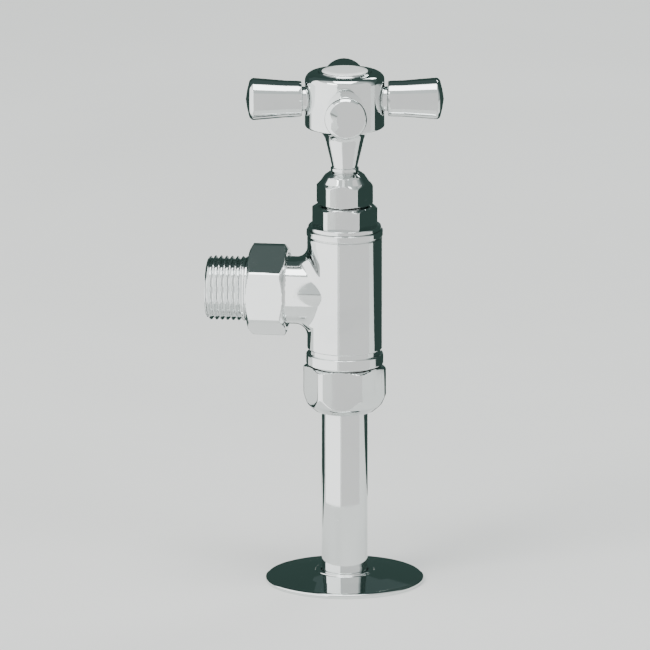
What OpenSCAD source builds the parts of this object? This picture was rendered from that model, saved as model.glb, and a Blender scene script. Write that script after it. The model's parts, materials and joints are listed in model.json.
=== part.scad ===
// Manual crosshead radiator valve, angle pattern, on its riser pipe and floor plate.
// +Z is up and -X is the way the outlet points. The origin is on the pipe's axis, at floor level.
// The valve is shut, the union and the compression joint are tight, and the plate is on the floor.

/* [Riser pipe] */
// Outside diameter of the riser pipe
pipe_od = 15; // [14.6:0.1:15]
// Wall thickness of the riser pipe
pipe_wall = 0.7; // [0.6:0.1:1]
// Height of the outlet's axis above the floor
outlet_h = 97; // [90:1:160]
// Length of pipe below the floor
pipe_tail = 40; // [30:1:80]

/* [Floor plate] */
// Diameter of the floor plate
plate_d = 52; // [44:1:70]
// Height of the floor plate at the pipe
plate_h = 3.8; // [3.6:0.1:6]

/* [Valve body] */
// Diameter of the upright barrel
barrel_d = 24.5; // [24.5:0.1:28]
// Height of the barrel above the outlet's axis
barrel_up = 21; // [20:0.5:26]
// Depth of the barrel below the outlet's axis
barrel_down = 24; // [23:0.5:30]
// Diameter of the outlet branch, behind its thread
branch_d = 22; // [20:0.1:22.2]
// Radius of the fillet where the branch leaves the barrel, above and below
branch_fillet = 4; // [1:0.1:4.5]
// Distance from the barrel's axis to the outlet's end face
branch_reach = 26; // [25:0.5:34]
// Radius of the hole in the valve seat
seat_r = 5.2; // [4:0.1:5.4]

/* [Compression joint] */
// Width of the compression nut across its flats
comp_af = 24; // [24:0.5:27]
// Height of the compression nut
comp_nut_h = 15.2; // [14.8:0.1:15.2]
// Outside diameter of the body's thread for the compression nut
comp_thread_d = 20.6; // [20:0.1:21]

/* [Union] */
// Width of the union nut across its flats
union_af = 27; // [27:0.5:30]
// Length of the union nut
union_nut_l = 12.4; // [12:0.1:14]
// Outside diameter of the union's thread
union_thread_d = 24; // [23.6:0.1:24]
// Outside diameter of the tail's thread, which screws into the radiator
tail_thread_d = 20.96; // [20.8:0.01:20.96]
// Length of the tail's thread
tail_thread_l = 13; // [10:0.5:25]
// Width of the hexagon hole in the tail, across its flats
tail_key_af = 12; // [10:0.5:12]

/* [Headwork] */
// Width of the headwork's hexagon across its flats
headwork_af = 19; // [18:0.5:22]
// Height of the gland nut's top above the barrel
gland_top = 19; // [18.5:0.1:20]
// Width of the gland nut across its flats
gland_af = 16.5; // [16:0.1:18]
// How far the valve disc lifts from its seat
lift = 4.5; // [3:0.1:4.5]

/* [Handle] */
// Angle at which the handle stands when the valve is shut, turned to the left seen from above
handle_angle = 8; // [-45:1:45]
// Diameter of the handle's hub
hub_d = 26; // [25:0.5:30]
// Height of the hub's flat underside above the barrel
hub_rise = 34.2; // [34:0.1:38]
// Height of the hub, from its underside to its top
hub_h = 18.3; // [17:0.1:19]
// Distance from the handle's axis to the tip of each arm
arm_reach = 32.2; // [28:0.1:40]
// Radius of each arm at its root
arm_root_r = 5.9; // [5:0.1:6]
// Radius of each arm near its tip
arm_tip_r = 6.9; // [5.5:0.1:7.2]
// Radius of the neck that each arm stands on
arm_neck_r = 4; // [3.5:0.1:4.5]
// How far the cap's ring stands above the hub
cap_h = 0.2; // [0.2:0.1:1]
// Diameter of the ceramic disc in the cap
disc_d = 15; // [12:0.1:15.2]

/* [Hidden] */
$fn = 96;
thread_gap = 0.06;       // round a male thread inside its female one
face_gap = 0.05;         // between faces that are drawn up tight
chamfer = 0.8;           // at the start of a male thread
nut_chamfer_angle = 30;  // of the crown turned on a nut's corners

pipe_r = pipe_od / 2;
pipe_bore_r = pipe_r - pipe_wall;
depth_mark_z = 28 - pipe_tail;
barrel_r = barrel_d / 2;
branch_r = branch_d / 2;
top_z = outlet_h + barrel_up;
shoulder_z = outlet_h - barrel_down;
comp_thread_r = comp_thread_d / 2;
comp_mouth_z = shoulder_z - 11.1;
pipe_stop_z = shoulder_z + 2.8;
olive_z = comp_mouth_z - 0.7;
olive_half = 3;
olive_r = 8.8;
olive_end_r = 7.95;
comp_nut_z = shoulder_z - 0.4 - comp_nut_h;
seat_z = outlet_h - 7.5;
chamber_r = 9.2;
chamber_z = seat_z - 1.7;
outlet_bore_r = 6.4;
headwork_thread_r = 10;
headwork_z = top_z - 11;
union_thread_r = union_thread_d / 2;
union_nut_x = branch_reach - 7.4;
collar_r = 11.1;
collar_x = branch_reach + 2 * face_gap;
collar_l = 3;
shank_end_x = union_nut_x + union_nut_l + 1;
tail_end_x = shank_end_x + tail_thread_l;
stem_thread_r = 5;
stem_r = 4;
stem_top_r = 3.2;
stem_square = 5;
stem_z = seat_z + 6;
stem_step_z = top_z + gland_top + 0.35;
o_ring_z = [top_z + 2.6, top_z + 5.2];
clip_z = stem_z + 1.5;
hub_z = top_z + hub_rise;
hub_top_z = hub_z + hub_h;
arm_z = hub_z + hub_h / 2;
hub_r = hub_d / 2;
arm_seat_x = hub_r - 0.9;
square_z = hub_z - 3;
cap_seat_r = 8.6;
cap_seat_z = hub_top_z - 3.1;
screw_ledge_z = hub_top_z - 6;
square_top_z = screw_ledge_z - 3;

// ---- helpers ----

// Points of an arc in an outline, from one angle to the other
function arc(centre, r, from, to, steps = 6) =
    [for (i = [0 : steps]) let (a = from + (to - from) * i / steps)
        centre + r * [cos(a), sin(a)]];

// A solid of revolution about Z; each point is [radius, height]
module lathe(outline) {
    rotate_extrude() polygon(outline);
}

// A round hole or boss from one height to another
module round_bar(r, from, to) {
    translate([0, 0, from]) cylinder(r = r, h = to - from);
}

// A hexagonal bar with two of its flats square to Y
module hex_bar(af, from, to) {
    translate([0, 0, from]) cylinder(d = af / cos(30), h = to - from, $fn = 6);
}

// A bar with a chamfered free end, for a male thread
module male_thread(r, root, tip) {
    out = sign(tip - root);
    lathe([[0, root], [r, root], [r, tip - out * chamfer], [r - chamfer, tip], [0, tip]]);
}

// A hexagonal bar whose corners are turned off at both ends
module crowned_hex(af, from, to, low_r, low_rise) {
    corner_r = af / 2 / cos(30);
    crown_r = af / 2 - 0.2;
    crown = (corner_r - crown_r) * tan(nut_chamfer_angle);
    intersection() {
        hex_bar(af, from, to);
        lathe([[0, from], [low_r, from], [corner_r, from + low_rise],
               [corner_r, to - crown], [crown_r, to], [0, to]]);
    }
}

// A ring of round section
module o_ring(middle_r, section_r, z) {
    translate([0, 0, z]) rotate_extrude() translate([middle_r, 0]) circle(r = section_r, $fn = 32);
}

// Lays a shape drawn up the Z axis along the outlet, so that its height is the distance from the barrel
module along_outlet() {
    translate([0, 0, outlet_h]) rotate([0, -90, 0]) children();
}

// ---- riser pipe, compression joint and floor plate ----

// A turned groove round a bar, for a clip, a seal or a mark
module ring_groove(bar_r, bottom_r, z, width) {
    difference() {
        round_bar(bar_r + 1, z - width / 2, z + width / 2);
        round_bar(bottom_r, z - width, z + width);
    }
}

// The groove on the pipe marks how far it goes into a push-fit fitting below the floor
module supply_pipe() {
    color("gainsboro") difference() {
        round_bar(pipe_r, -pipe_tail, pipe_stop_z - 0.4);
        round_bar(pipe_bore_r, -pipe_tail - 1, pipe_stop_z);
        ring_groove(pipe_r, pipe_r - 0.2, depth_mark_z, 0.7);
    }
}

module olive() {
    bore_r = pipe_r + 0.02;
    color("goldenrod") translate([0, 0, olive_z]) lathe([
        [bore_r, -olive_half], [olive_end_r, -olive_half], [olive_r, -0.6],
        [olive_r, 0.6], [olive_end_r, olive_half], [bore_r, olive_half]
    ]);
}

module compression_nut() {
    ledge_z = olive_z - olive_half - 0.1;
    bore_z = olive_z - 0.6;
    low_r = 9.8;
    low_rise = 5;
    color("silver") difference() {
        crowned_hex(comp_af, comp_nut_z, comp_nut_z + comp_nut_h, low_r, low_rise);
        round_bar(pipe_r + 0.12, comp_nut_z - 1, ledge_z + 1);
        lathe([[0, ledge_z], [olive_end_r + 0.1, ledge_z], [olive_r + 0.12, bore_z], [0, bore_z]]);
        round_bar(comp_thread_r + thread_gap, bore_z, shoulder_z);
    }
}

module floor_plate() {
    plate_r = plate_d / 2;
    rim_z = 1.1;
    lip = 0.5;
    slope_z = plate_h - lip;
    skin = 1.2;
    bore_r = pipe_r + 0.2;
    ring_r = pipe_r + 1.5;
    lip_r = pipe_r + 2.1;
    boss_r = pipe_r + 2.7;
    color("silver") lathe(concat(
        [[boss_r, 0], [boss_r, slope_z - skin], [plate_r - 1.4, rim_z - 0.5], [plate_r - 1.4, 0], [plate_r, 0]],
        arc([plate_r - 0.7, rim_z], 0.7, 0, 80, 4),
        arc([lip_r - lip, slope_z], lip, 0, 90, 4),
        [[bore_r, plate_h], [bore_r, 3], [ring_r, 3], [ring_r, 1.3], [bore_r, 1.3], [bore_r, 0]]
    ));
}

module floor_plate_ring() {
    color("dimgray") o_ring(pipe_r + 0.75, 0.7, 2.15);
}

// ---- valve body ----

module barrel() {
    bead_r = barrel_r + 0.35;
    lathe([
        [0, shoulder_z], [bead_r - 0.4, shoulder_z], [bead_r, shoulder_z + 0.4], [bead_r, shoulder_z + 3.2],
        [bead_r - 0.4, shoulder_z + 3.6], [barrel_r - 0.5, shoulder_z + 4], [barrel_r - 0.5, shoulder_z + 5],
        [barrel_r, shoulder_z + 5.5], [barrel_r, top_z - 2.6], [bead_r - 0.1, top_z - 2.2],
        [bead_r - 0.1, top_z - 0.5], [bead_r - 0.6, top_z], [0, top_z]
    ]);
}

// The blend between the branch and the barrel: a flare round the outlet's axis, which the two round
// walls of a lens narrow to nothing at the branch's sides
module branch_flare() {
    flare_r = branch_r + branch_fillet;
    lens_half = branch_r - 0.3;
    lens_r = (lens_half + flare_r * flare_r / lens_half) / 2;
    intersection() {
        rotate_extrude() difference() {
            translate([0, barrel_r - 5]) square([flare_r, branch_fillet + 5]);
            translate([flare_r, barrel_r + branch_fillet]) circle(r = branch_fillet);
        }
        intersection_for (side = [-1, 1])
            translate([0, side * (lens_r - lens_half), 0]) round_bar(lens_r, 0, 30);
    }
}

// The way through the body: pipe socket, seat, chamber, and the threaded mouth for the headwork
module upright_bore() {
    socket_r = pipe_r + 0.08;
    socket_z = olive_z + olive_half + 0.2;
    inlet_r = pipe_bore_r - 0.8;
    mouth_r = headwork_thread_r + thread_gap;
    lip_r = seat_r + 1.2;
    lathe([[0, comp_mouth_z - 1], [olive_r + 0.1, comp_mouth_z - 1], [olive_r + 0.1, comp_mouth_z],
           [olive_end_r + 0.07, socket_z], [0, socket_z]]);
    round_bar(socket_r, socket_z - 0.01, pipe_stop_z);
    round_bar(inlet_r, pipe_stop_z - 1, seat_z - 5.5);
    round_bar(seat_r, seat_z - 6, seat_z + 1);
    difference() {
        round_bar(chamber_r, chamber_z, headwork_z + 1);
        round_bar(lip_r, chamber_z - 1, seat_z);
    }
    round_bar(mouth_r, headwork_z - 0.5, top_z + 1);
    round_bar(mouth_r + 1.19, top_z - 1.3, top_z + 1);
}

// The groove in the outlet's end face for its O-ring
module union_groove() {
    difference() {
        round_bar(10.1, branch_reach - 1.5, branch_reach + 1);
        round_bar(8.5, branch_reach - 2, branch_reach + 2);
    }
}

module valve_body() {
    color("silver") difference() {
        union() {
            barrel();
            male_thread(comp_thread_r, shoulder_z + 1, comp_mouth_z);
            along_outlet() {
                branch_flare();
                round_bar(branch_r, 0, branch_reach - 7);
                male_thread(union_thread_r, union_nut_x + 0.2, branch_reach);
            }
        }
        upright_bore();
        along_outlet() {
            round_bar(outlet_bore_r, 0, branch_reach + 1);
            union_groove();
        }
    }
}

// ---- union ----

module union_o_ring() {
    color("dimgray") along_outlet() o_ring(9.3, 0.72, branch_reach - 0.75);
}

module union_tail() {
    key_depth = 9;
    shank_r = tail_thread_d / 2 - 0.6;
    color("silver") along_outlet() difference() {
        union() {
            round_bar(collar_r, collar_x, collar_x + collar_l);
            round_bar(shank_r, collar_x, shank_end_x + 1);
            male_thread(tail_thread_d / 2, shank_end_x, tail_end_x);
        }
        hex_bar(tail_key_af, collar_x - 1, collar_x + key_depth);
        round_bar(tail_key_af / 2 + 0.2, collar_x + key_depth - 0.5, tail_end_x + 1);
    }
}

module union_nut() {
    corner_r = union_af / 2 / cos(30);
    crown_r = union_af / 2 - 0.2;
    crown = (corner_r - crown_r) * tan(nut_chamfer_angle);
    wall_x = collar_x + collar_l + face_gap;
    color("silver") along_outlet() difference() {
        crowned_hex(union_af, union_nut_x, union_nut_x + union_nut_l, crown_r, crown);
        round_bar(union_thread_r + thread_gap, union_nut_x - 1, wall_x);
        round_bar(tail_thread_d / 2 + 0.12, wall_x - 1, union_nut_x + union_nut_l + 1);
    }
}

// ---- headwork ----

module headwork() {
    hex_z = top_z + 1.5;
    neck_z = top_z + 8;
    neck_top_z = top_z + 13.6;
    crown_r = headwork_af / 2 - 0.2;
    crown = (headwork_af / 2 / cos(30) - crown_r) * tan(nut_chamfer_angle);
    ledge_z = top_z + 1.4;
    color("silver") difference() {
        union() {
            male_thread(headwork_thread_r, top_z, headwork_z);
            round_bar(barrel_r - 0.35, top_z + face_gap / 2, hex_z);
            round_bar(headwork_thread_r - 1, top_z - 1, hex_z);
            crowned_hex(headwork_af, hex_z - 0.5, neck_z, headwork_af, 0);
            male_thread(6.9, neck_z - 1, neck_top_z);
        }
        round_bar(stem_thread_r + thread_gap, headwork_z - 1, ledge_z);
        round_bar(stem_r + 0.07, ledge_z - 1, neck_top_z + 1);
        round_bar(5.6, top_z + 10.4, neck_top_z + 1);
    }
}

module headwork_o_ring() {
    color("dimgray") o_ring(headwork_thread_r + 0.63, 0.58, top_z - 0.65);
}

module gland_packing() {
    color("ivory") difference() {
        round_bar(5.55, top_z + 10.45, top_z + 13.5);
        round_bar(stem_r + 0.05, top_z, top_z + 14);
    }
}

module gland_nut() {
    low_z = top_z + 8.3;
    cone_z = top_z + 15.2;
    roof_z = top_z + 14;
    nose_r = 5.2;
    corner_r = gland_af / 2 / cos(30);
    crown_r = gland_af / 2 - 0.1;
    color("silver") difference() {
        intersection() {
            hex_bar(gland_af, low_z, top_z + gland_top);
            lathe([[0, low_z], [crown_r, low_z], [corner_r, low_z + 0.8], [corner_r, cone_z - 0.8],
                   [crown_r, cone_z], [nose_r, top_z + gland_top], [0, top_z + gland_top]]);
        }
        difference() {
            round_bar(6.96, low_z - 1, roof_z);
            round_bar(5.5, roof_z - 0.45, roof_z + 1);
        }
        round_bar(stem_r + 0.1, low_z, top_z + gland_top + 1);
    }
}

// ---- valve disc, which rises and falls without turning ----

module jumper() {
    plate_r = 7.3;
    plate_z = seat_z + 3.1;
    stem_tip_z = stem_z + 8;
    color("goldenrod") difference() {
        union() {
            round_bar(plate_r, seat_z + 0.9, stem_z - 0.3);
            round_bar(2.45, plate_z, stem_tip_z);
        }
        round_bar(6.75, seat_z, plate_z);
        round_bar(1.55, seat_z, plate_z + 7);
        ring_groove(2.45, 2.1, clip_z, 1);
    }
}

module seat_washer() {
    color("dimgray") difference() {
        round_bar(6.7, seat_z + face_gap, seat_z + 3.05);
        round_bar(2, seat_z, seat_z + 4);
    }
}

module washer_screw() {
    color("silver") difference() {
        union() {
            round_bar(2.9, seat_z - 1.5, seat_z + 0.03);
            round_bar(1.5, seat_z - 0.5, seat_z + 8.5);
        }
        translate([-4, -0.4, seat_z - 2]) cube([8, 0.8, 1.2]);
    }
}

// ---- spindle and handle, which turn ----

// The outline of the spindle's squared end, with its corners left round
module square_end(size, r) {
    intersection() {
        square(size, center = true);
        circle(r = r);
    }
}

module spindle() {
    color("silver") difference() {
        union() {
            round_bar(stem_thread_r - 0.6, stem_z, stem_z + 4);
            round_bar(stem_thread_r, stem_z + 3.5, top_z + 1.3 - lift);
            round_bar(stem_r, stem_z, stem_step_z);
            round_bar(stem_top_r, stem_z, square_z);
            translate([0, 0, square_z - 1]) linear_extrude(square_top_z - 0.3 - square_z + 1)
                square_end(stem_square, stem_top_r);
        }
        round_bar(2.55, stem_z - 1, stem_z + 8.6);
        round_bar(3.2, clip_z - 0.5, clip_z + 0.5);
        round_bar(1.8, square_z + 1, square_top_z + 1);
        for (z = o_ring_z) ring_groove(stem_r, stem_r - 1.07, z, 1.6);
    }
}

module spindle_o_ring(z) {
    color("dimgray") o_ring(stem_r - 0.5, 0.55, z);
}

module jumper_clip() {
    gap_w = 1.6;
    color("silver") difference() {
        o_ring(2.62, 0.38, clip_z);
        translate([0, -gap_w / 2, clip_z - 1]) cube([5, gap_w, 2]);
    }
}

module handle_hub() {
    neck_z = stem_step_z + 0.05;
    neck_r = 4.2;
    root_r = 6.2;
    fillet = 5;
    edge = 0.8;
    shoulder = 2.6;
    screw_well_r = 4.4;
    color("silver") difference() {
        lathe(concat(
            [[0, neck_z], [neck_r, neck_z], [neck_r + 0.4, neck_z + 0.4], [neck_r + 0.4, neck_z + 1.2],
             [neck_r, neck_z + 1.8]],
            arc([root_r + fillet, hub_z - fillet], fillet, 180, 90, 10),
            arc([hub_r - edge, hub_z + edge], edge, -90, 0, 4),
            arc([hub_r - shoulder, hub_top_z - 0.4 - shoulder], shoulder, 0, 84, 8),
            [[cap_seat_r + 0.4, hub_top_z], [0, hub_top_z]]
        ));
        round_bar(stem_top_r + 0.06, neck_z - 1, square_z + 0.1);
        translate([0, 0, square_z]) linear_extrude(square_top_z - square_z)
            square_end(stem_square + 0.1, stem_top_r + 0.06);
        round_bar(2, square_top_z - 1, hub_top_z);
        round_bar(screw_well_r, screw_ledge_z, cap_seat_z + 1);
        round_bar(cap_seat_r, cap_seat_z, hub_top_z + 1);
        for (a = [0 : 90 : 270]) translate([0, 0, arm_z]) rotate([0, 90, a]) {
            round_bar(2.55, 6.8, hub_r);
            round_bar(arm_neck_r + 0.1, arm_seat_x, hub_r + 2);
        }
    }
}

// An arm pointing along X, screwed into its seat in the hub
module handle_arm() {
    flare_x = arm_reach - 2.7;
    tip_edge = 1;
    dome_rise = arm_reach - flare_x - tip_edge;
    color("silver") translate([0, 0, arm_z]) rotate([0, 90, 0]) lathe(concat(
        [[0, 7], [2.5, 7], [2.5, arm_seat_x + face_gap], [arm_neck_r, arm_seat_x + face_gap],
         [arm_neck_r, hub_r + 0.8], [arm_root_r - 0.4, hub_r + 1.1], [arm_root_r, hub_r + 1.6],
         [arm_tip_r, flare_x]],
        arc([arm_tip_r - tip_edge, flare_x], tip_edge, 0, 70, 5),
        [[3, arm_reach - dome_rise / 4], [0, arm_reach]]
    ));
}

module handle_screw() {
    head_z = screw_ledge_z + 0.05;
    head_h = 2.3;
    color("silver") difference() {
        union() {
            round_bar(3.6, head_z, head_z + head_h);
            round_bar(1.75, hub_z, head_z + 1);
        }
        for (a = [0, 90]) rotate(a) translate([-2.2, -0.4, head_z + head_h - 1.4]) cube([4.4, 0.8, 2]);
    }
}

// A ring that presses into the hub and holds the disc
module handle_cap() {
    ring_r = cap_seat_r - face_gap;
    foot_z = -3.05;
    edge = 0.2;
    pocket_r = disc_d / 2 + 0.05;
    pocket_z = -1.85;
    wall_r = 5.5;
    color("silver") translate([0, 0, hub_top_z]) lathe([
        [wall_r, foot_z], [ring_r, foot_z], [ring_r, cap_h - edge], [ring_r - edge, cap_h],
        [pocket_r + edge, cap_h], [pocket_r, cap_h - edge], [pocket_r, pocket_z], [wall_r, pocket_z]
    ]);
}

module handle_disc() {
    disc_r = disc_d / 2;
    rim = 0.35;
    foot_z = hub_top_z - 1.8;
    top_z = hub_top_z + cap_h + 0.45;
    color("white") lathe(concat(
        [[0, foot_z], [disc_r, foot_z]],
        arc([disc_r - rim, top_z - rim - 0.2], rim, 0, 80, 4),
        [[0, top_z]]
    ));
}

// ---- the assembly ----

supply_pipe();
olive();
compression_nut();
floor_plate();
floor_plate_ring();
valve_body();
headwork();
headwork_o_ring();
gland_packing();
gland_nut();
union_o_ring();
union_tail();
union_nut();
jumper();
seat_washer();
washer_screw();
rotate(handle_angle) spindle();
spindle_o_ring(o_ring_z[0]);  // spindle_o_ring_lower
spindle_o_ring(o_ring_z[1]);  // spindle_o_ring_upper
jumper_clip();
rotate(handle_angle) handle_hub();
rotate(handle_angle) handle_screw();
handle_cap();
handle_disc();
rotate(handle_angle) handle_arm();  // handle_arm_right
rotate(handle_angle + 90) handle_arm();  // handle_arm_back
rotate(handle_angle + 180) handle_arm();  // handle_arm_left
rotate(handle_angle + 270) handle_arm();  // handle_arm_front
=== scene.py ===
import json
from math import acos, atan2, cos, hypot, pi, radians, sin, tan

import bmesh
import bpy
import numpy as np
from mathutils import Matrix, Vector


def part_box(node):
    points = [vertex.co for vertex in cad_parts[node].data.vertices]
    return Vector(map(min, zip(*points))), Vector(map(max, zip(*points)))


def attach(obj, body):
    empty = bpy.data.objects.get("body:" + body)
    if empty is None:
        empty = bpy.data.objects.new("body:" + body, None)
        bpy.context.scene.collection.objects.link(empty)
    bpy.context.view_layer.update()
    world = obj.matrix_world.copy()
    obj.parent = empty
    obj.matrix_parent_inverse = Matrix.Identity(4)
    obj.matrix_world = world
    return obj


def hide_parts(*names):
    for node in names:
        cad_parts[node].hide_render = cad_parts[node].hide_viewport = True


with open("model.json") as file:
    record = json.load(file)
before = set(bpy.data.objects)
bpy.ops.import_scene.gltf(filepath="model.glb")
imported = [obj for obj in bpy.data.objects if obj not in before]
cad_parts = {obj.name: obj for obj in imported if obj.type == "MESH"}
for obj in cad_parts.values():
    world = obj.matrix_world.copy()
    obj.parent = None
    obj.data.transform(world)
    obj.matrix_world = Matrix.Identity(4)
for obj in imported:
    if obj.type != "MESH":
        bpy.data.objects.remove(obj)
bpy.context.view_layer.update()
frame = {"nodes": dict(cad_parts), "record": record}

# Shapes are worked out in millimetres, in the CAD's own frame: +Z up the pipe, -X along the outlet.
MM = 0.001
ROUND = 192          # segments of a turned piece
CHROME, BRASS, STEEL, RUBBER, PTFE, CERAMIC = "chrome", "brass", "steel", "rubber", "ptfe", "ceramic"


# ---------------------------------------------------------------- places, read from the frame

def span(node, axis):
    """Where a CAD node starts and ends along an axis, in mm."""
    low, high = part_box(node)
    return low[axis] / MM, high[axis] / MM


def points_of(node):
    return np.array([v.co for v in frame["nodes"][node].data.vertices]) / MM


PIPE_LOW, PIPE_TOP = span("supply_pipe", 2)
PIPE_R = span("supply_pipe", 0)[1]
PIPE_BORE_R = PIPE_R - 0.7             # less the pipe's wall
BODY_LOW, BODY_TOP = span("valve_body", 2)
SHOULDER = BODY_LOW + 11.1             # above the thread for the compression nut
BRANCH_END = -span("valve_body", 0)[0]
OUTLET_Z = sum(span("union_nut", 2)) / 2
TAIL_TIP, TAIL_ROOT = (-x for x in span("union_tail", 0))
NUT_FAR, NUT_NEAR = (-x for x in span("union_nut", 0))
COMP_LOW, COMP_TOP = span("compression_nut", 2)
GLAND_LOW, GLAND_TOP = span("gland_nut", 2)
HEAD_LOW, HEAD_TOP = span("headwork", 2)
NECK_LOW, HUB_TOP = span("handle_hub", 2)
CAP_LOW, CAP_TOP = span("handle_cap", 2)
DISC_LOW, DISC_TOP = span("handle_disc", 2)
PLATE_R = span("floor_plate", 0)[1]
PLATE_TOP = span("floor_plate", 2)[1]
ARM_Z = sum(span("handle_arm_right", 2)) / 2
ARM_TIP_R = (span("handle_arm_right", 2)[1] - span("handle_arm_right", 2)[0]) / 2
ARM_REACH = float(np.hypot(*points_of("handle_arm_right").T[:2]).max())
HANDLE_ANGLE = atan2(*points_of("handle_arm_right").mean(axis=0)[1::-1])
HUB_LOW = 2 * ARM_Z - HUB_TOP
SEAT_Z = OUTLET_Z - 7.5

# Sizes that the frame doesn't give, the same as in the CAD.
COMP_AF, UNION_AF, HEADWORK_AF, GLAND_AF = 24, 27, 19, 16.5     # nuts, across their flats
BARREL_R, BRANCH_R, OUTLET_BORE_R = 12.25, 11.0, 6.4
SEAT_R, CHAMBER_R, HEADWORK_R = 5.2, 9.2, 10.0
HUB_R = 13.0
CAP_SEAT_R = 8.6
ARM_NECK_R = 4.0
ARM_SEAT = HUB_R - 0.9                 # the flat that each arm stands on
STUD_R = 2.5
SPINDLE_TOP_R, SPINDLE_SQUARE = 3.2, 5.0


# ---------------------------------------------------------------- outlines

def softened(corners, steps=5):
    """An outline whose corners (radius, height, rounding) are turned into arcs."""
    outline = []
    for i, (r, z, *rounding) in enumerate(corners):
        p = np.array((r, z), float)
        if not rounding:
            outline.append(tuple(p))
            continue
        back = np.array(corners[i - 1][:2], float) - p
        ahead = np.array(corners[(i + 1) % len(corners)][:2], float) - p
        room = 0.49 * min(hypot(*back), hypot(*ahead))
        back /= hypot(*back)
        ahead /= hypot(*ahead)
        half = acos(np.clip(back @ ahead, -1, 1)) / 2
        reach = min(rounding[0] / tan(half), room)
        middle = back + ahead
        centre = p + middle / hypot(*middle) * reach / cos(half)
        first, last = p + back * reach - centre, p + ahead * reach - centre
        turn = pi - 2 * half
        for t in np.linspace(0, 1, steps + 1):
            swing = (sin((1 - t) * turn) * first + sin(t * turn) * last) / sin(turn)
            outline.append(tuple(centre + swing))
    return outline


def fine(outline, step):
    """The outline with points no further apart than step."""
    out = []
    for (r0, z0), (r1, z1) in zip(outline, outline[1:] + outline[:1]):
        on_axis = r0 < 1e-6 and r1 < 1e-6
        count = 1 if on_axis else max(1, int(np.ceil(hypot(r1 - r0, z1 - z0) / step)))
        out += [(r0 + (r1 - r0) * k / count, z0 + (z1 - z0) * k / count) for k in range(count)]
    return out


def soft_min(a, b, k):
    """The smaller of the two, blended where they are closer than k."""
    h = np.clip(0.5 + 0.5 * (b - a) / k, 0, 1)
    return b + (a - b) * h - k * h * (1 - h)


def corner_of(af):
    """How far a hexagon's corners are from its middle."""
    return af / 2 / cos(pi / 6)


def hexagon(af, rounding=0.3):
    """Cuts a turned piece down to six flats, with corners at 0, 60, 120 degrees and softened edges."""
    edge = 0.16

    def cut(r, z, angle):
        flat = af / 2 / np.cos(angle % (pi / 3) - pi / 6)
        flat = soft_min(flat, corner_of(af) - rounding, rounding)
        return soft_min(np.full_like(angle, r), flat, edge)
    return cut


def thread(major, depth, pitch, start, end):
    """Cuts a helical thread into the outer wall, running out at its start."""
    crest, flank = 0.14, 0.74       # parts of half a pitch

    def cut(r, z, angle):
        if r < major - 1.2 * depth or not start - 0.01 <= z <= end + 0.01:
            return np.full_like(angle, r)
        off_crest = np.abs(2 * ((z / pitch - angle / (2 * pi)) % 1) - 1)
        fade = min(1.0, (z - start) / pitch)
        groove = depth * fade * np.clip((off_crest - crest) / flank, 0, 1)
        return np.minimum(r, major - groove)
    return cut


# ---------------------------------------------------------------- meshes

def along_outlet():
    """Lays a piece made up the Z axis along the outlet."""
    return Matrix.Translation((0, 0, OUTLET_Z)) @ Matrix.Rotation(-pi / 2, 4, "Y")


def arm_place(quarter):
    turn = Matrix.Rotation(HANDLE_ANGLE + quarter * pi / 2, 4, "Z")
    return turn @ Matrix.Translation((0, 0, ARM_Z)) @ Matrix.Rotation(pi / 2, 4, "Y")


def piece_from(name, vertices, faces, place=Matrix.Identity(4), sharp=radians(38)):
    mesh = bpy.data.meshes.new(name)
    mesh.from_pydata(vertices, [], faces)
    mesh.transform(Matrix.Diagonal((MM, MM, MM, 1)) @ place)
    bm = bmesh.new()
    bm.from_mesh(mesh)
    bmesh.ops.recalc_face_normals(bm, faces=bm.faces)
    bm.to_mesh(mesh)
    bm.free()
    mesh.shade_smooth()
    mesh.set_sharp_from_angle(angle=sharp)
    piece = bpy.data.objects.new(name, mesh)
    bpy.context.scene.collection.objects.link(piece)
    weighted = piece.modifiers.new("flat faces stay flat", "WEIGHTED_NORMAL")
    weighted.keep_sharp = True
    return piece


def turned(name, outline, reshape=None, segments=ROUND, place=Matrix.Identity(4)):
    """A solid turned about Z from a closed outline of (radius, height)."""
    angle = np.arange(segments) * 2 * pi / segments
    across, deep = np.cos(angle), np.sin(angle)
    vertices, rows, faces = [], [], []
    for r, z in outline:
        if r < 1e-6:
            rows.append([len(vertices)] * segments)
            vertices.append((0, 0, z))
            continue
        radius = np.full(segments, r) if reshape is None else reshape(r, z, angle)
        rows.append(list(range(len(vertices), len(vertices) + segments)))
        vertices += list(zip(radius * across, radius * deep, [z] * segments))
    for a, b in zip(rows, rows[1:] + rows[:1]):
        for j in range(segments):
            k = (j + 1) % segments
            ring = list(dict.fromkeys((a[j], a[k], b[k], b[j])))
            if len(ring) > 2:
                faces.append(ring)
    return piece_from(name, vertices, faces, place)


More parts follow.
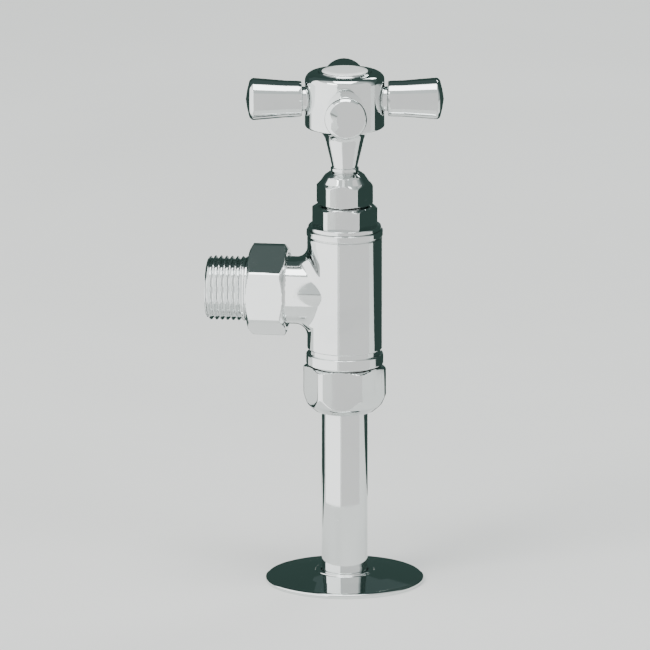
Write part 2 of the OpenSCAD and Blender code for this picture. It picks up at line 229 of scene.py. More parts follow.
def carved(name, field, radii, heights, segments, place=Matrix.Identity(4)):
    """The skin where field(x, y, z) changes sign, netted on a grid of rings about Z."""
    radii, heights = np.asarray(radii), np.asarray(heights)
    angle = np.arange(segments) * 2 * pi / segments
    r, a, z = np.meshgrid(radii, angle, heights, indexing="ij")
    value = field(r * np.cos(a), r * np.sin(a), z)
    nr, nz = len(radii) - 1, len(heights) - 1
    turned_on = np.roll(value, -1, axis=1)
    corner = {
        (i, j, k): (turned_on if j else value)[i:nr + i, :, k:nz + k]
        for i in (0, 1) for j in (0, 1) for k in (0, 1)
    }
    total = np.zeros((3,) + corner[0, 0, 0].shape)
    count = np.zeros(corner[0, 0, 0].shape, int)
    for start in corner:
        for axis in range(3):
            if start[axis]:
                continue
            end = tuple(s + (n == axis) for n, s in enumerate(start))
            v0, v1 = corner[start], corner[end]
            crosses = (v0 < 0) != (v1 < 0)
            t = np.where(crosses, v0 / np.where(crosses, v0 - v1, 1), 0)
            for n in range(3):
                total[n] += crosses * start[n] + (t if n == axis else 0)
            count += crosses
    used = count > 0
    number = np.full(used.shape, -1)
    number[used] = np.arange(used.sum())
    cells = np.array(np.nonzero(used), float) + total[:, used] / count[used]
    rr = np.interp(cells[0], np.arange(nr + 1), radii)
    aa = cells[1] * 2 * pi / segments
    p = np.array((rr * np.cos(aa), rr * np.sin(aa), np.interp(cells[2], np.arange(nz + 1), heights)))

    inside = value < 0
    quads = []
    for axis in range(3):
        ahead = np.roll(inside, -1, axis=axis)
        i, j, k = np.nonzero(inside != ahead)
        top = (nr - (axis == 0), segments - 1, nz - (axis == 2))
        keep = (i <= top[0]) & (k <= top[2])
        keep &= (i > 0) | (axis == 0)
        keep &= (k > 0) | (axis == 2)
        keep &= ((i < nr) | (axis == 0)) & ((k < nz) | (axis == 2))
        i, j, k = i[keep], j[keep], k[keep]
        one, two = [n for n in range(3) if n != axis]
        ring = []
        for d1, d2 in ((0, 0), (1, 0), (1, 1), (0, 1)):
            back = [0, 0, 0]
            back[one], back[two] = d1, d2
            ring.append(number[i - back[0], (j - back[1]) % segments, k - back[2]])
        quads.append(np.array(ring).T)
    quads = np.concatenate(quads)
    quads = quads[(quads >= 0).all(axis=1)]

    neighbours = np.concatenate([quads[:, [n, (n + 1) % 4]] for n in range(4)])
    neighbours = np.concatenate([neighbours, neighbours[:, ::-1]])
    degree = np.bincount(neighbours[:, 0], minlength=p.shape[1])
    for smoothing in (0, 0.4, 0.4, 0):
        if smoothing:
            mean = [np.bincount(neighbours[:, 0], c[neighbours[:, 1]], p.shape[1]) / degree for c in p]
            p += smoothing * (np.array(mean) - p)
        for _ in range(3):
            here, slope = field(*p), slope_of(field, p)
            step = here / np.maximum((slope ** 2).sum(axis=0), 0.25)
            p -= slope * np.clip(step, -0.25, 0.25)
    return piece_from(name, p.T.tolist(), quads.tolist(), place, sharp=radians(60))


def slope_of(field, p, h=0.02):
    slope = []
    for n in range(3):
        shift = np.zeros((3, 1))
        shift[n] = h
        slope.append((field(*(p + shift)) - field(*(p - shift))) / (2 * h))
    return np.array(slope)


def rod(across, along, r, start, end, edge=0.1):
    """The distance to a rod with rounded ends: across is the distance from its axis, along is along it."""
    side = across - (r - edge)
    tip = np.abs(along - (start + end) / 2) - ((end - start) / 2 - edge)
    outside = np.hypot(np.maximum(side, 0), np.maximum(tip, 0))
    return np.minimum(np.maximum(side, tip), 0) + outside - edge


def filleted(a, b, radius):
    """Two shapes joined with a fillet."""
    corner = np.hypot(np.maximum(radius - a, 0), np.maximum(radius - b, 0))
    return np.maximum(radius, np.minimum(a, b)) - corner


def cut_from(a, b, edge=0.0):
    """a with b cut out of it, and the rim rounded."""
    return -filleted(-a, b, edge) if edge else np.maximum(a, -b)


def spread(*runs):
    """Grid lines: each run is (start, end, step)."""
    lines = [np.arange(a, b, (b - a) / max(1, round((b - a) / step))) for a, b, step in runs]
    return np.unique(np.round(np.concatenate(lines + [[runs[-1][1]]]), 4))


# ---------------------------------------------------------------- the valve body and the hub

def body_field(x, y, z):
    axis = np.hypot(x, y)
    branch_axis = np.hypot(y, z - OUTLET_Z)
    out = -x
    comp_thread_r, union_thread_r = 10.3, 12.0
    barrel = rod(axis, z, BARREL_R, SHOULDER + 5.2, BODY_TOP - 2.5, 0.35)
    branch = rod(branch_axis, out, BRANCH_R, 0, NUT_NEAR + 0.6, 0.2)
    fillet = 4 * np.clip(1 - y * y / (BARREL_R * BRANCH_R), 0.06, 1)
    solid = filleted(barrel, branch, fillet)
    low_bead = rod(axis, z, BARREL_R + 0.35, SHOULDER, SHOULDER + 3.6, 0.45)
    high_bead = rod(axis, z, BARREL_R + 0.25, BODY_TOP - 2.2, BODY_TOP, 0.45)
    for ring in (rod(axis, z, BARREL_R - 0.5, SHOULDER + 0.3, BODY_TOP - 0.3, 0.2), low_bead, high_bead):
        solid = np.minimum(solid, ring)
    solid = np.minimum(solid, rod(axis, z, comp_thread_r, BODY_LOW, SHOULDER + 1, 0.6))
    solid = np.minimum(solid, rod(branch_axis, out, union_thread_r, NUT_NEAR + 0.2, BRANCH_END, 0.7))

    mouth = np.maximum(axis - (8.9 - (z - BODY_LOW) * 0.35), z - BODY_LOW - 2.5)
    solid = cut_from(solid, mouth)
    solid = cut_from(solid, rod(axis, z, PIPE_R + 0.08, BODY_LOW - 2, SHOULDER + 2.8))
    solid = cut_from(solid, rod(axis, z, 6.0, SHOULDER, SEAT_Z - 5.5))
    seat_lip = rod(axis, z, SEAT_R + 1.2, 0, SEAT_Z, 0.3)
    solid = cut_from(solid, cut_from(rod(axis, z, CHAMBER_R, SEAT_Z - 1.7, BODY_TOP - 10), seat_lip))
    solid = cut_from(solid, rod(axis, z, SEAT_R, SEAT_Z - 6, SEAT_Z + 1), 0.25)
    solid = cut_from(solid, rod(axis, z, HEADWORK_R + 0.06, BODY_TOP - 11.5, BODY_TOP + 2))
    solid = cut_from(solid, rod(axis, z, HEADWORK_R + 1.25, BODY_TOP - 1.3, BODY_TOP + 2))
    solid = cut_from(solid, rod(branch_axis, out, OUTLET_BORE_R, 0, BRANCH_END + 2))
    groove = cut_from(rod(branch_axis, out, 10.1, BRANCH_END - 1.5, BRANCH_END + 2),
                      rod(branch_axis, out, 8.5, BRANCH_END - 3, BRANCH_END + 3))
    return cut_from(solid, groove)


def valve_body():
    radii = spread((3.9, 11.2, 0.42), (11.2, 13.2, 0.2), (13.2, 27.2, 0.4))
    heights = spread((BODY_LOW - 0.6, SHOULDER - 0.6, 0.3), (SHOULDER - 0.6, SHOULDER + 6.5, 0.13),
                     (SHOULDER + 6.5, BODY_TOP - 3.5, 0.42), (BODY_TOP - 3.5, BODY_TOP + 0.6, 0.13))
    return carved("valve_body_forging", body_field, radii, heights, 288)


def hub_field(x, y, z):
    axis = np.hypot(x, y)
    spindle_hole_r, half_square = SPINDLE_TOP_R + 0.06, SPINDLE_SQUARE / 2 + 0.05
    drum = np.maximum(rod(axis, z, HUB_R, HUB_LOW, HUB_TOP + 20, 0.7),
                      rod(axis, z, HUB_R, HUB_LOW - 20, HUB_TOP - 0.35, 2.6))
    solid = filleted(drum, rod(axis, z, CAP_SEAT_R + 0.4, HUB_LOW + 1, HUB_TOP, 0.1), 0.5)
    taper = 4.2 + np.clip(z - NECK_LOW - 1.6, 0, 20) * 0.235
    neck = np.maximum((axis - taper) * 0.973, np.maximum(NECK_LOW + 0.1 - z, z - HUB_LOW - 2))
    solid = filleted(solid, neck, 4.6)
    solid = np.minimum(solid, rod(axis, z, 4.62, NECK_LOW, NECK_LOW + 1.4, 0.42))
    solid = cut_from(solid, rod(axis, z, CAP_SEAT_R, CAP_LOW, HUB_TOP + 2), 0.1)
    solid = cut_from(solid, rod(axis, z, 4.4, HUB_TOP - 6, CAP_LOW + 1))
    solid = cut_from(solid, rod(axis, z, 2.0, HUB_TOP - 10, HUB_TOP - 5))
    solid = cut_from(solid, rod(axis, z, spindle_hole_r, NECK_LOW - 2, HUB_LOW - 3))
    past_ends = np.maximum(HUB_LOW - 4 - z, z - HUB_TOP + 9)
    square = np.maximum(np.maximum(np.abs(x), np.abs(y)) - half_square, past_ends)
    solid = cut_from(solid, np.maximum(square, axis - spindle_hole_r))
    for out, across in ((x, y), (y, -x), (-x, -y), (-y, x)):
        arm_axis = np.hypot(across, z - ARM_Z)
        solid = cut_from(solid, rod(arm_axis, out, ARM_NECK_R + 0.1, ARM_SEAT, HUB_R + 4), 0.2)
        solid = cut_from(solid, rod(arm_axis, out, STUD_R + 0.05, 6.8, HUB_R))
    return solid


def handle_hub():
    radii = spread((1.3, 9.6, 0.36), (9.6, 13.6, 0.2))
    heights = spread((NECK_LOW - 0.5, NECK_LOW + 2.2, 0.14), (NECK_LOW + 2.2, HUB_LOW - 1, 0.4),
                     (HUB_LOW - 1, HUB_LOW + 1.6, 0.16), (HUB_LOW + 1.6, HUB_TOP - 3.6, 0.3),
                     (HUB_TOP - 3.6, HUB_TOP + 0.5, 0.14))
    turn = Matrix.Rotation(HANDLE_ANGLE, 4, "Z")
    return carved("handle_hub_turned", hub_field, radii, heights, 256, turn)


# ---------------------------------------------------------------- turned pieces

def supply_pipe():
    mark_z = PIPE_LOW + 28
    outline = softened([
        (PIPE_BORE_R, PIPE_LOW), (PIPE_R - 0.1, PIPE_LOW), (PIPE_R, PIPE_LOW + 0.5, 0.4),
        (PIPE_R, mark_z - 0.35, 0.08), (PIPE_R - 0.2, mark_z, 0.1), (PIPE_R, mark_z + 0.35, 0.08),
        (PIPE_R, PIPE_TOP, 0.25), (PIPE_BORE_R, PIPE_TOP, 0.1),
    ])
    return turned("supply_pipe_tube", fine(outline, 6))


def floor_plate():
    bore = PIPE_R + 0.2
    lip = PIPE_R + 2.1
    outline = softened([
        (lip + 0.6, 0), (lip + 0.6, 2.0, 0.4), (PLATE_R - 1.4, 0.6, 0.2), (PLATE_R - 1.4, 0),
        (PLATE_R - 0.15, 0, 0.1), (PLATE_R, 1.2, 0.65), (PLATE_R - 1.0, 1.75, 0.8),
        (lip + 7, PLATE_TOP - 1.05, 30), (lip + 0.1, PLATE_TOP - 0.45, 0.35), (lip - 0.1, PLATE_TOP, 0.4),
        (bore, PLATE_TOP, 0.3), (bore, 3.0), (PIPE_R + 1.5, 3.0, 0.2), (PIPE_R + 1.5, 1.3, 0.2),
        (bore, 1.3), (bore, 0),
    ], steps=8)
    return turned("floor_plate_spun", fine(outline, 2.5), segments=256)


def compression_nut():
    corner_r = corner_of(COMP_AF)
    outline = softened([
        (PIPE_R + 0.12, COMP_LOW, 0.3), (9.6, COMP_LOW, 0.5), (12.2, COMP_LOW + 2.2, 3.2),
        (corner_r, COMP_LOW + 6.2, 3.0), (corner_r, COMP_TOP - 1.0, 0.15), (11.75, COMP_TOP, 0.3),
        (10.36, COMP_TOP, 0.2), (10.36, COMP_LOW + 3.2), (8.9, COMP_LOW + 2.9), (8.05, COMP_LOW + 0.7),
        (PIPE_R + 0.12, COMP_LOW + 0.7),
    ])
    return turned("compression_nut_machined", fine(outline, 0.45), hexagon(COMP_AF), 288)


def union_nut():
    corner_r = corner_of(UNION_AF)
    wall = TAIL_ROOT + 3.05
    outline = softened([
        (12.06, NUT_NEAR, 0.3), (13.3, NUT_NEAR, 0.3), (corner_r, NUT_NEAR + 1.3, 0.3),
        (corner_r, NUT_FAR - 1.3, 0.3), (13.3, NUT_FAR, 0.3), (10.6, NUT_FAR, 0.35),
        (10.6, wall), (12.06, wall),
    ])
    return turned("union_nut_machined", fine(outline, 0.4), hexagon(UNION_AF), 288, along_outlet())


def union_tail():
    major, root = 10.48, 9.88
    key_r, bore_r = 6.0, 6.2
    thread_start, pitch = NUT_FAR + 1, 1.814

    helix = thread(major, 1.0, pitch, thread_start, TAIL_TIP)
    socket = hexagon(2 * key_r, 0.12)

    def cut(r, z, angle):
        if abs(r - key_r) < 0.02:
            return socket(corner_of(2 * key_r), z, angle)
        return helix(r, z, angle)

    outline = softened([
        (key_r, TAIL_ROOT), (11.1, TAIL_ROOT, 0.2), (11.1, TAIL_ROOT + 3, 0.3), (root, TAIL_ROOT + 3, 0.2),
        (root, thread_start, 0.1), (major, thread_start, 0.15), (major, TAIL_TIP - 0.8, 0.15),
        (major - 1.0, TAIL_TIP, 0.25), (bore_r, TAIL_TIP, 0.35), (bore_r, TAIL_ROOT + 9.0),
        (key_r, TAIL_ROOT + 8.9),
    ])
    return turned("union_tail_threaded", fine(outline, 0.14), cut, ROUND, along_outlet())


def headwork():
    hex_low, hex_top = BODY_TOP + 1.5, BODY_TOP + 8
    corner_r = corner_of(HEADWORK_AF)
    bore_r, stem_r = 5.06, 4.07

    helix = thread(HEADWORK_R, 0.55, 1.0, HEAD_LOW, BODY_TOP - 1.2)
    flats = hexagon(HEADWORK_AF, 0.25)

    def cut(r, z, angle):
        if hex_low - 0.05 < z < hex_top + 0.05 and r > 7.5:
            return flats(r, z, angle)
        return helix(r, z, angle)

    outline = softened([
        (bore_r, HEAD_LOW, 0.1), (HEADWORK_R - 0.5, HEAD_LOW, 0.2), (HEADWORK_R, HEAD_LOW + 0.6, 0.2),
        (HEADWORK_R, BODY_TOP),
        (11.9, BODY_TOP + 0.03, 0.25), (11.9, hex_low - 0.1, 0.55), (corner_r, hex_low, 0.1),
        (corner_r, hex_top - 0.9, 0.15), (9.3, hex_top, 0.3), (6.9, hex_top, 0.2),
        (6.9, HEAD_TOP - 0.5, 0.2), (6.4, HEAD_TOP, 0.1), (5.6, HEAD_TOP), (5.6, BODY_TOP + 10.4),
        (stem_r, BODY_TOP + 10.4), (stem_r, BODY_TOP + 1.4), (bore_r, BODY_TOP + 1.4),
    ])
    return turned("headwork_machined", fine(outline, 0.3), cut, 264)


def gland_nut():
    corner_r = corner_of(GLAND_AF)
    roof = BODY_TOP + 14
    outline = softened([
        (6.96, GLAND_LOW, 0.2), (8.1, GLAND_LOW, 0.25), (corner_r, GLAND_LOW + 0.8, 0.3),
        (corner_r, GLAND_TOP - 4.6, 0.5), (8.1, GLAND_TOP - 3.2, 1.6), (6.6, GLAND_TOP - 1.0, 2.0),
        (5.2, GLAND_TOP, 0.9), (4.1, GLAND_TOP, 0.3), (4.1, roof - 0.45), (5.5, roof - 0.45), (5.5, roof),
        (6.96, roof),
    ])
    return turned("gland_nut_machined", fine(outline, 0.35), hexagon(GLAND_AF, 0.25), 264)


def handle_arm(quarter, side):
    seat = ARM_SEAT + 0.05
    root_r = 5.9
    flare = ARM_REACH - 2.7
    outline = softened([
        (0, 7.0), (2.2, 7.0), (STUD_R, 7.4, 0.1), (STUD_R, seat, 0.1), (ARM_NECK_R, seat, 0.1),
        (ARM_NECK_R, HUB_R + 0.8, 0.3), (root_r - 0.15, HUB_R + 1.05, 0.35), (root_r, HUB_R + 2.0, 0.6),
        (root_r + 0.1, HUB_R + 6, 12),
        (ARM_TIP_R, flare + 0.5, 1.0), (ARM_TIP_R - 0.9, ARM_REACH - 1.2, 1.2), (3.0, ARM_REACH - 0.45, 5),
        (0, ARM_REACH),
    ], steps=7)
    return turned(f"handle_arm_{side}_turned", fine(outline, 1.2), segments=160, place=arm_place(quarter))


def handle_cap():
    ring_r, pocket_r, wall_r = CAP_SEAT_R - 0.05, 7.55, 5.5
    outline = softened([
        (wall_r, CAP_LOW, 0.1), (ring_r, CAP_LOW, 0.15), (ring_r, CAP_TOP, 0.15), (pocket_r, CAP_TOP, 0.1),
        (pocket_r, DISC_LOW - 0.05), (wall_r, DISC_LOW - 0.05),
    ], steps=6)
    return turned("handle_cap_ring", fine(outline, 1), segments=224)


def handle_disc():
    r = 7.5
    outline = softened([
        (0, DISC_LOW), (r, DISC_LOW, 0.2), (r, DISC_TOP - 0.28, 0.4), (r - 1.4, DISC_TOP - 0.05, 2.4),
        (0, DISC_TOP),
    ], steps=6)
    return turned("handle_disc_glazed", fine(outline, 1), segments=224)


# ---------------------------------------------------------------- materials

class Shader:
    """A material's node tree, built a node at a time."""

    def __init__(self, name):
        self.material = bpy.data.materials.new(name)
        self.material.use_nodes = True
        self.nodes = self.material.node_tree.nodes
        self.links = self.material.node_tree.links
        self.surface = self.nodes["Principled BSDF"]
        self.place = self.add("ShaderNodeTexCoord").outputs["Object"]

    def add(self, kind, inputs=None, **settings):
        node = self.nodes.new(kind)
        for key, value in settings.items():
            setattr(node, key, value)
        self.feed(node, inputs or {})
        return node

    def feed(self, node, inputs):
        for key, value in inputs.items():
            if isinstance(value, bpy.types.NodeSocket):
                self.links.new(value, node.inputs[key])
            else:
                node.inputs[key].default_value = value

    def scaled(self, factors):
        inputs = {0: self.place, 1: factors}
        return self.add("ShaderNodeVectorMath", inputs, operation="MULTIPLY").outputs[0]

    def warped(self, scale, amount):
        """The place, pushed about by noise, so that a regular pattern comes out uneven."""
        push = self.add("ShaderNodeTexNoise", {"Vector": self.place, "Scale": scale}).outputs["Color"]
        push = self.add("ShaderNodeVectorMath", {0: push, "Scale": amount}, operation="SCALE").outputs[0]
        return self.add("ShaderNodeVectorMath", {0: self.place, 1: push}).outputs[0]

    def noise(self, scale, detail=3.0, roughness=0.5, where=None, distortion=0.0):
        return self.add("ShaderNodeTexNoise", {
            "Vector": where or self.place, "Scale": scale, "Detail": detail, "Roughness": roughness,
            "Distortion": distortion,
        }).outputs["Fac"]

    def spots(self, scale, feature="F1", randomness=1.0, where=None):
        return self.add("ShaderNodeTexVoronoi", {
            "Vector": where or self.place, "Scale": scale, "Randomness": randomness,
        }, feature=feature)

    def between(self, value, low, high, to_low=0.0, to_high=1.0):
        return self.add("ShaderNodeMapRange", {
            "Value": value, "From Min": low, "From Max": high, "To Min": to_low, "To Max": to_high,
        }, interpolation_type="SMOOTHSTEP").outputs["Result"]

    def math(self, operation, a, b):
        return self.add("ShaderNodeMath", {0: a, 1: b}, operation=operation).outputs[0]

    def mix(self, fac, a, b):
        node = self.add("ShaderNodeMix", data_type="RGBA")
        self.feed(node, {0: fac, 6: a, 7: b})
        return node.outputs[2]

    def bump(self, height, strength, distance, normal=None):
        inputs = {"Height": height, "Strength": strength, "Distance": distance}
        if normal is not None:
            inputs["Normal"] = normal
        return self.add("ShaderNodeBump", inputs).outputs["Normal"]

    def finish(self, **inputs):
        self.feed(self.surface, {key.replace("_", " "): value for key, value in inputs.items()})
        return self.material


def chrome():
    """Polished chrome plate: hairlines, the plate's faint ripple, handling haze and dried water spots."""
    s = Shader("chrome_plate")
    haze = s.between(s.noise(38, 4, 0.6, distortion=0.4), 0.46, 0.72)
    prints = s.between(s.noise(170, 3, 0.55), 0.52, 0.7)
    rings = s.noise(1.0, 2, 0.5, s.scaled((60, 60, 9000)))
    hairs = s.noise(1.0, 2, 0.6, s.scaled((2600, 2600, 110)))
    crossed = s.noise(1.0, 2, 0.6, s.scaled((420, 5200, 5200)))
    scratch = s.math("MAXIMUM", s.between(hairs, 0.66, 0.74), s.between(crossed, 0.69, 0.76))
    drop = s.spots(190, where=s.warped(160, 0.005))
    ring = s.between(drop.outputs["Distance"], 0.30, 0.36)
    ring = s.math("SUBTRACT", ring, s.between(drop.outputs["Distance"], 0.36, 0.44))
    chosen = s.between(s.add("ShaderNodeSeparateColor", {0: drop.outputs["Color"]}).outputs[0], 0.86, 0.9)
    broken = s.between(s.noise(330, 2, 0.5), 0.46, 0.6)
    spot = s.math("MULTIPLY", s.math("MULTIPLY", ring, chosen), broken)
    tint = s.mix(haze, (0.715, 0.742, 0.738, 1), (0.665, 0.692, 0.69, 1))
    tint = s.mix(s.math("MULTIPLY", spot, 0.4), tint, (0.78, 0.80, 0.79, 1))
    rough = s.math("ADD", 0.035, s.math("MULTIPLY", haze, 0.05))
    rough = s.math("ADD", rough, s.math("MULTIPLY", prints, 0.02))
    rough = s.math("ADD", rough, s.math("MULTIPLY", scratch, 0.06))
    rough = s.math("ADD", rough, s.math("MULTIPLY", spot, 0.12))
    normal = s.bump(s.noise(120, 1, 0.4), 0.35, 0.00003)
    normal = s.bump(rings, 0.10, 0.000004, normal)
    normal = s.bump(scratch, 0.16, 0.00001, normal)
    return s.finish(Metallic=1.0, Base_Color=tint, Roughness=rough, Normal=normal)


def brass():
    """Machined brass: turning rings, a little tarnish in patches."""
    s = Shader("machined_brass")
    tarnish = s.between(s.noise(90, 4, 0.6), 0.42, 0.75)
    rings = s.noise(1.0, 2, 0.6, s.scaled((150, 150, 7000)))
    tint = s.mix(tarnish, (0.78, 0.57, 0.27, 1), (0.58, 0.39, 0.17, 1))
    rough = s.math("ADD", 0.2, s.math("MULTIPLY", tarnish, 0.16))
    rough = s.math("ADD", rough, s.math("MULTIPLY", rings, 0.08))
    normal = s.bump(rings, 0.35, 0.00002)
    return s.finish(Metallic=1.0, Base_Color=tint, Roughness=rough, Normal=normal)


def steel():
    """Stainless screws and wire: drawn streaks over a dull shine."""
    s = Shader("stainless_steel")
    streaks = s.noise(1.0, 3, 0.6, s.scaled((5200, 5200, 240)))
    patches = s.between(s.noise(240, 3, 0.5), 0.4, 0.7)
    tint = s.mix(patches, (0.62, 0.62, 0.61, 1), (0.5, 0.5, 0.5, 1))
    rough = s.math("ADD", 0.24, s.math("MULTIPLY", streaks, 0.14))
    return s.finish(Metallic=1.0, Base_Color=tint, Roughness=rough, Normal=s.bump(streaks, 0.3, 0.00001))


def rubber():
    """Moulded black rubber with a faint bloom and a fine orange-peel skin."""
    s = Shader("moulded_rubber")
    bloom = s.between(s.noise(260, 4, 0.6), 0.45, 0.75)
    skin = s.noise(4200, 2, 0.5)
    tint = s.mix(bloom, (0.018, 0.018, 0.019, 1), (0.05, 0.05, 0.052, 1))
    rough = s.math("ADD", 0.5, s.math("MULTIPLY", bloom, 0.25))
    return s.finish(Base_Color=tint, Roughness=rough, Normal=s.bump(skin, 0.4, 0.00003))


def ptfe():
    """Packed PTFE cord: waxy, off-white, with the marks of its wound layers."""
    s = Shader("packed_ptfe")
    layers = s.noise(1.0, 2, 0.5, s.scaled((300, 300, 2600)))
    tint = s.mix(layers, (0.88, 0.88, 0.85, 1), (0.76, 0.75, 0.71, 1))
    rough = s.math("ADD", 0.38, s.math("MULTIPLY", layers, 0.2))
    s.surface.inputs["Subsurface Weight"].default_value = 0.1
    return s.finish(Base_Color=tint, Roughness=rough, Normal=s.bump(layers, 0.4, 0.00005))


def ceramic():
    """White glazed ceramic: a deep clear glaze, slightly uneven, with pinholes and soft variation."""
    s = Shader("glazed_ceramic")
    cloud = s.between(s.noise(210, 3, 0.55), 0.35, 0.7)
    pin = s.between(s.spots(900).outputs["Distance"], 0.10, 0.04)
    pit = s.math("MULTIPLY", pin, s.between(s.noise(420, 1), 0.58, 0.62))
    tint = s.mix(cloud, (0.93, 0.94, 0.925, 1), (0.895, 0.905, 0.885, 1))
    tint = s.mix(pit, tint, (0.58, 0.57, 0.53, 1))
    rough = s.math("ADD", 0.09, s.math("MULTIPLY", cloud, 0.06))
    normal = s.bump(s.noise(150, 1, 0.4), 0.4, 0.00006)
    normal = s.bump(pit, 0.4, -0.00004, normal)
    return s.finish(Base_Color=tint, Roughness=rough, Normal=normal, Coat_Weight=0.6, Coat_Roughness=0.04)


def floor_stone():
    """Pale matt stone, almost plain."""
    s = Shader("pale_floor")
    cloud = s.between(s.noise(3.2, 5, 0.55, distortion=0.6), 0.3, 0.72)
    grain = s.noise(420, 2, 0.6)
    tint = s.mix(cloud, (0.80, 0.798, 0.788, 1), (0.76, 0.758, 0.748, 1))
    rough = s.math("ADD", 0.85, s.math("MULTIPLY", grain, 0.1))
    normal = s.bump(grain, 0.08, 0.0001)
    return s.finish(Base_Color=tint, Roughness=rough, Normal=normal, Specular_IOR_Level=0.0)


def glow(name, colour, strength):
    """An evenly lit card for the metal to reflect."""
    material = bpy.data.materials.new(name)
    material.use_nodes = True
    nodes = material.node_tree.nodes
    nodes.clear()
    emission = nodes.new("ShaderNodeEmission")
    emission.inputs["Color"].default_value = colour
    emission.inputs["Strength"].default_value = strength
    output = nodes.new("ShaderNodeOutputMaterial")
    material.node_tree.links.new(emission.outputs[0], output.inputs["Surface"])
    return material


# ---------------------------------------------------------------- the object

finishes = {
    CHROME: chrome(), BRASS: brass(), STEEL: steel(), RUBBER: rubber(), PTFE: ptfe(), CERAMIC: ceramic(),
}
slot_of = {part["node"]: part["material_slot"] for part in frame["record"]["subparts"]}
body_of = {node: body for body, nodes in frame["record"]["behaviour"]["bodies"].items() for node in nodes}

detailed = {
    "supply_pipe": supply_pipe, "floor_plate": floor_plate, "compression_nut": compression_nut,
    "valve_body": valve_body, "union_nut": union_nut, "union_tail": union_tail, "headwork": headwork,
    "gland_nut": gland_nut, "handle_hub": handle_hub, "handle_cap": handle_cap, "handle_disc": handle_disc,
}
for quarter, side in enumerate(("right", "back", "left", "front")):
    detailed[f"handle_arm_{side}"] = lambda quarter=quarter, side=side: handle_arm(quarter, side)

for node, cad in frame["nodes"].items():
    if node in detailed:
        piece = detailed[node]()
        piece.data.materials.append(finishes[slot_of[node]])
        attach(piece, body_of[node])
        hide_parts(node)
    else:
        for material_slot in cad.material_slots:
            material_slot.material = finishes[slot_of[node]]


# ---------------------------------------------------------------- the studio

AZIMUTH, ELEVATION = radians(7.5), radians(13.7)
DISTANCE = 4.6
FRAME_HEIGHT = 0.212      # of the subject, across the picture
LOOK_AT = Vector((-0.0065, 0, 0.0855))
FLOOR_HALF = 30


def place_camera():
    data = bpy.data.cameras.new("camera")
    camera = bpy.data.objects.new("camera", data)
    bpy.context.scene.collection.objects.link(camera)
    away = Vector((sin(AZIMUTH) * cos(ELEVATION), -cos(AZIMUTH) * cos(ELEVATION), sin(ELEVATION)))
    camera.location = LOOK_AT + away * DISTANCE
    camera.rotation_euler = (-away).to_track_quat("-Z", "Y").to_euler()
    data.lens = data.sensor_width * DISTANCE / FRAME_HEIGHT
    bpy.context.scene.camera = camera


def soft_light(name, where, size, watts, colour):
    data = bpy.data.lights.new(name, "AREA")
    data.shape = "RECTANGLE"
    data.size, data.size_y = size
    data.energy = watts
    data.color = colour
    lamp = bpy.data.objects.new(name, data)
    bpy.context.scene.collection.objects.link(lamp)
    lamp.location = where
    lamp.rotation_euler = (Vector((0, 0, 0.08)) - Vector(where)).to_track_quat("-Z", "Y").to_euler()


def flat(name, corners, material):
    mesh = bpy.data.meshes.new(name)
    mesh.from_pydata(corners, [], [(0, 1, 2, 3)])
    mesh.materials.append(material)
    sheet = bpy.data.objects.new(name, mesh)
    bpy.context.scene.collection.objects.link(sheet)
    return sheet


def dark_screens():
    """
    Dark screens behind the valve that only its reflections see, as a photographer would stand them there:
    they draw the thin dark edges on the chrome. A window in the large one lets light through to the back.
    """
    behind, left, right, top = 0.11, -0.13, 0.50, 0.26
    window, window_low, window_top = 0.03, 0.05, 0.15
    near, near_left = 0.05, -0.134
    screens = (
        ("left", behind, left, -window, 0, top), ("right", behind, window, right, 0, top),
        ("low", behind, -window, window, 0, window_low), ("high", behind, -window, window, window_top, top),
        ("near_low", near, near_left, -0.05, 0, 0.037), ("near_high", near, near_left, -0.05, 0.056, 0.19),
    )
    paint = glow("dark_screen", (0.042, 0.076, 0.067, 1), 1.0)
    for name, y, start, end, low, high in screens:
        corners = [(start, y, low), (end, y, low), (end, y, high), (start, y, high)]
        reflected_only(flat(f"dark_screen_{name}", corners, paint))


def light_cards():
    """Bright card curved round the front left and a dimmer one round the front right, to shade the chrome."""
    radius, top, step = 0.11, 0.26, 5
    cards = (("left", -100, -14, 2.7), ("right", -8, 84, 1.15))
    for name, start, end, strength in cards:
        card_paint = glow(f"card_{name}", (1.0, 1.0, 0.99, 1), strength)
        for n, azimuth in enumerate(range(start, end, step)):
            edges = [radians(a) for a in (azimuth, min(azimuth + step, end))]
            (x0, y0), (x1, y1) = ((radius * sin(a), -radius * cos(a)) for a in edges)
            corners = [(x0, y0, 0), (x1, y1, 0), (x1, y1, top), (x0, y0, top)]
            reflected_only(flat(f"card_{name}_{n}", corners, card_paint))


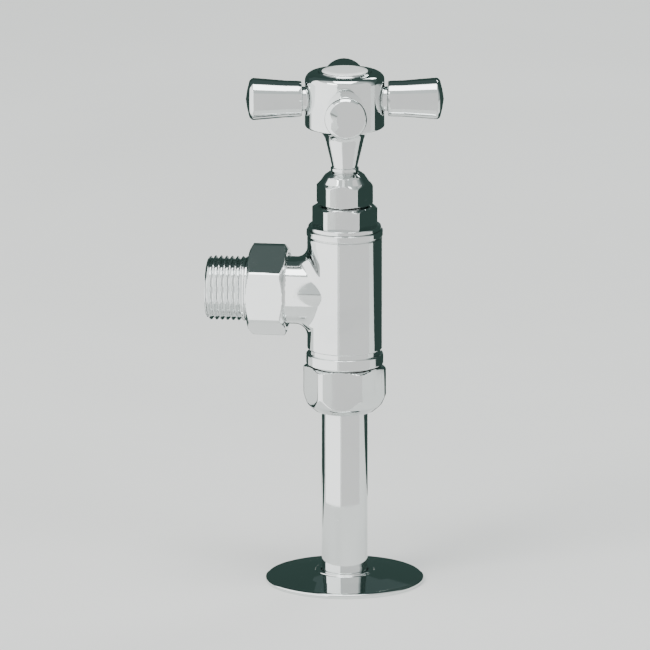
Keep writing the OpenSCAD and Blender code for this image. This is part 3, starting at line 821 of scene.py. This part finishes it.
def reflected_only(card):
    for ray in ("visible_camera", "visible_diffuse", "visible_shadow", "visible_transmission"):
        setattr(card, ray, False)


def studio_world():
    """A soft tent of light: bright in front, brightest on the left, falling off to a dim cool back."""
    world = bpy.data.worlds.new("studio")
    bpy.context.scene.world = world
    world.use_nodes = True
    nodes, links = world.node_tree.nodes, world.node_tree.links
    where = nodes.new("ShaderNodeTexCoord")
    split = nodes.new("ShaderNodeSeparateXYZ")
    links.new(where.outputs["Generated"], split.inputs[0])

    def fading(axis, start, end, shade, into):
        ramp = nodes.new("ShaderNodeMapRange")
        ramp.interpolation_type = "SMOOTHSTEP"
        ramp.inputs["From Min"].default_value = start
        ramp.inputs["From Max"].default_value = end
        links.new(split.outputs[axis], ramp.inputs["Value"])
        mix = nodes.new("ShaderNodeMix")
        mix.data_type = "RGBA"
        links.new(ramp.outputs["Result"], mix.inputs[0])
        for socket, colour in ((mix.inputs[6], shade), (mix.inputs[7], into)):
            if isinstance(colour, bpy.types.NodeSocket):
                links.new(colour, socket)
            else:
                socket.default_value = colour
        return mix.outputs[2]

    front = fading("X", -0.65, 0.8, (0.90, 0.94, 0.93, 1), (0.60, 0.655, 0.645, 1))
    links.new(fading("Y", -0.1, 0.34, front, (0.055, 0.085, 0.08, 1)), nodes["Background"].inputs["Color"])
    nodes["Background"].inputs["Strength"].default_value = 1.25


place_camera()
studio_world()
flat("floor", [(x * FLOOR_HALF, y * FLOOR_HALF, 0) for x, y in ((-1, -1), (1, -1), (1, 1), (-1, 1))],
     floor_stone())
soft_light("key_light", (-1.1, -1.3, 1.5), (1.0, 1.0), 30, (1.0, 0.99, 0.97))
soft_light("fill_light", (1.4, -1.0, 0.9), (0.9, 0.9), 10, (0.95, 0.98, 1.0))
soft_light("back_light", (0.5, 1.3, 1.2), (0.7, 0.5), 8, (0.95, 1.0, 0.99))
soft_light("top_light", (0.0, -0.25, 2.0), (1.2, 1.2), 26, (1.0, 1.0, 1.0))
dark_screens()
light_cards()
